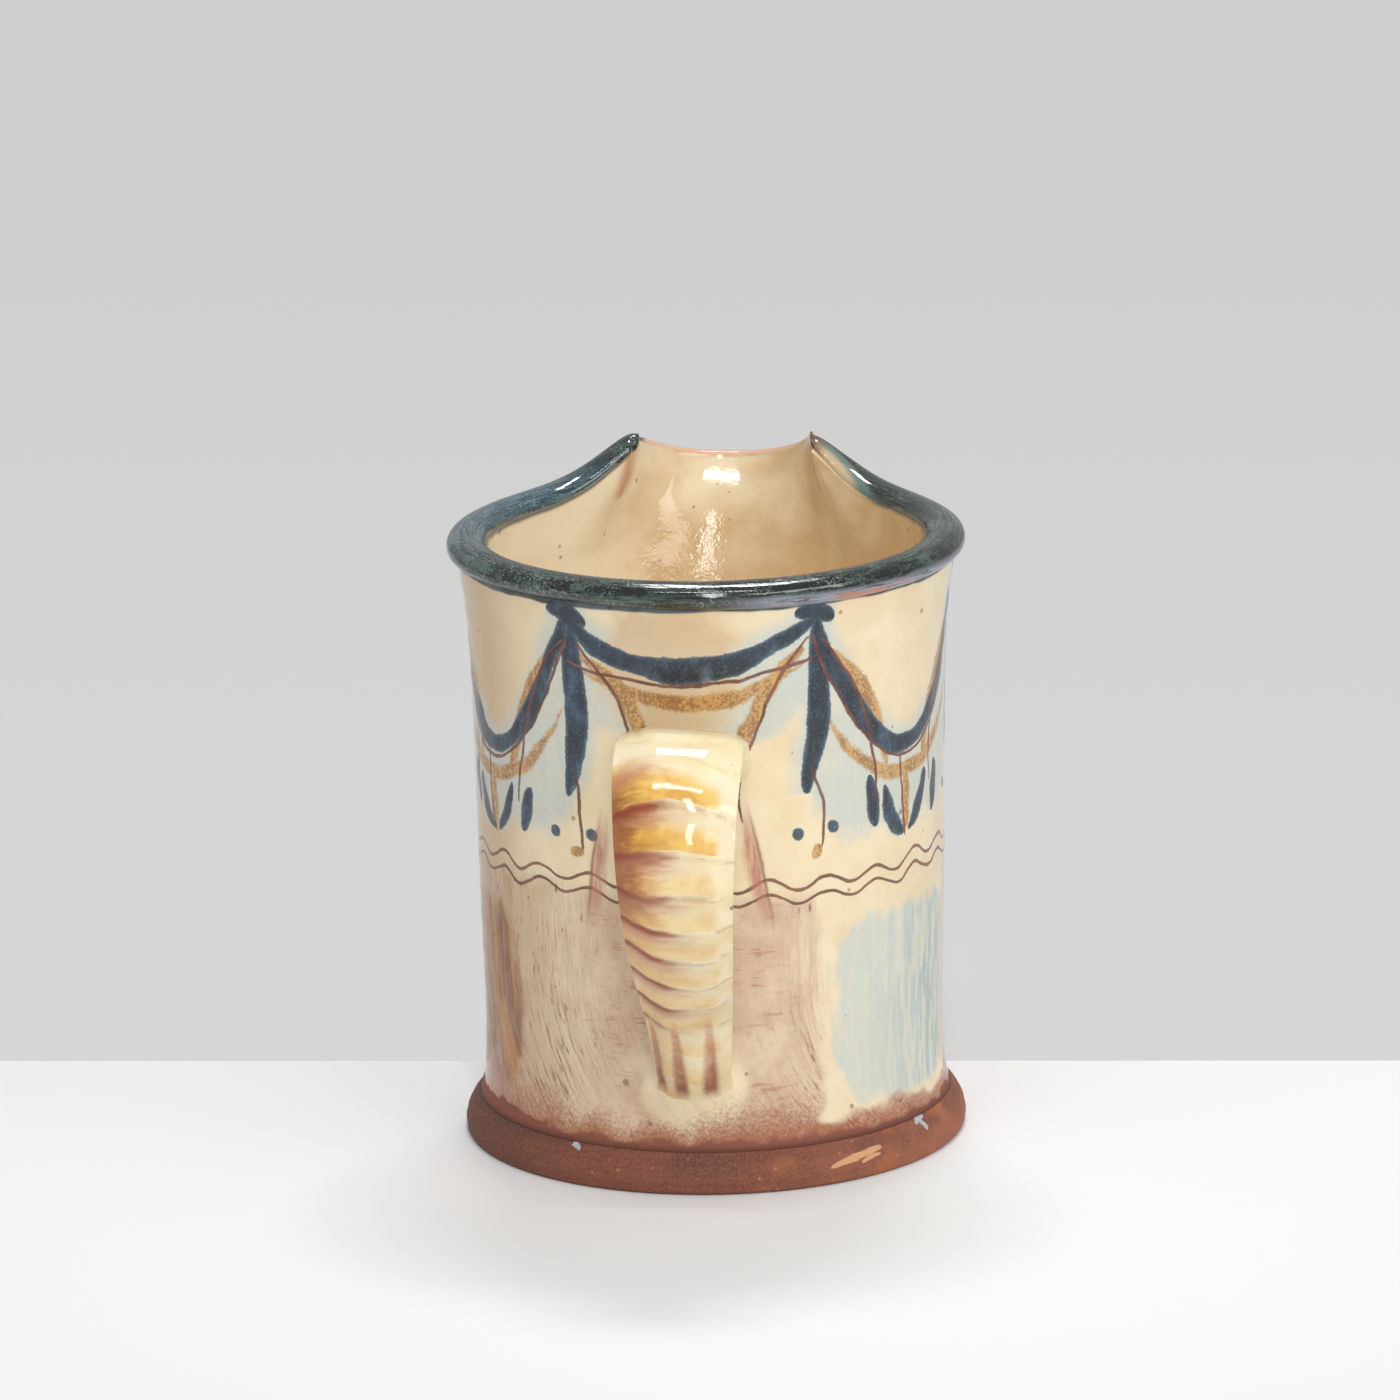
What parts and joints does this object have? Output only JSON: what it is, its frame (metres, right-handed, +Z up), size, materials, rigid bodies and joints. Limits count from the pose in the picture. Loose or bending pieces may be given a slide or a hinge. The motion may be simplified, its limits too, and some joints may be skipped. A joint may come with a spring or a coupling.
{
  "type": "cream jug",
  "caption": "Straight-sided earthenware cream jug: bare clay foot slab, cream-slipped wall under clear glaze, dark rolled rim climbing to a raised spout, and a tapering strap handle.",
  "frame": {"origin": "centre of the foot's flat underside, on the jug's thrown axis", "axes": "+Z up along the thrown axis, +Y towards the spout, -Y towards the handle, +X to the right of someone who looks from the handle to the spout"},
  "size_m": [0.0772, 0.1111, 0.0989],
  "materials": {
    "bare_clay": "unglazed, matt red-brown earthenware",
    "cream_glaze": "cream slip under a clear gloss glaze",
    "rim_glaze": "streaky slate-blue to green-black under a clear gloss glaze",
    "honey_glaze": "cream slip with honey-yellow pools and red-brown stripes under a clear gloss glaze"
  },
  "bodies": {
    "root": {"base_slab": "bare_clay", "floor_coil": "cream_glaze", "body_wall": "cream_glaze", "pouring_spout": "cream_glaze", "rolled_rim": "rim_glaze", "strap_handle": "honey_glaze", "upper_handle_coil": "cream_glaze", "lower_handle_coil": "cream_glaze"}
  },
  "joints": []
}
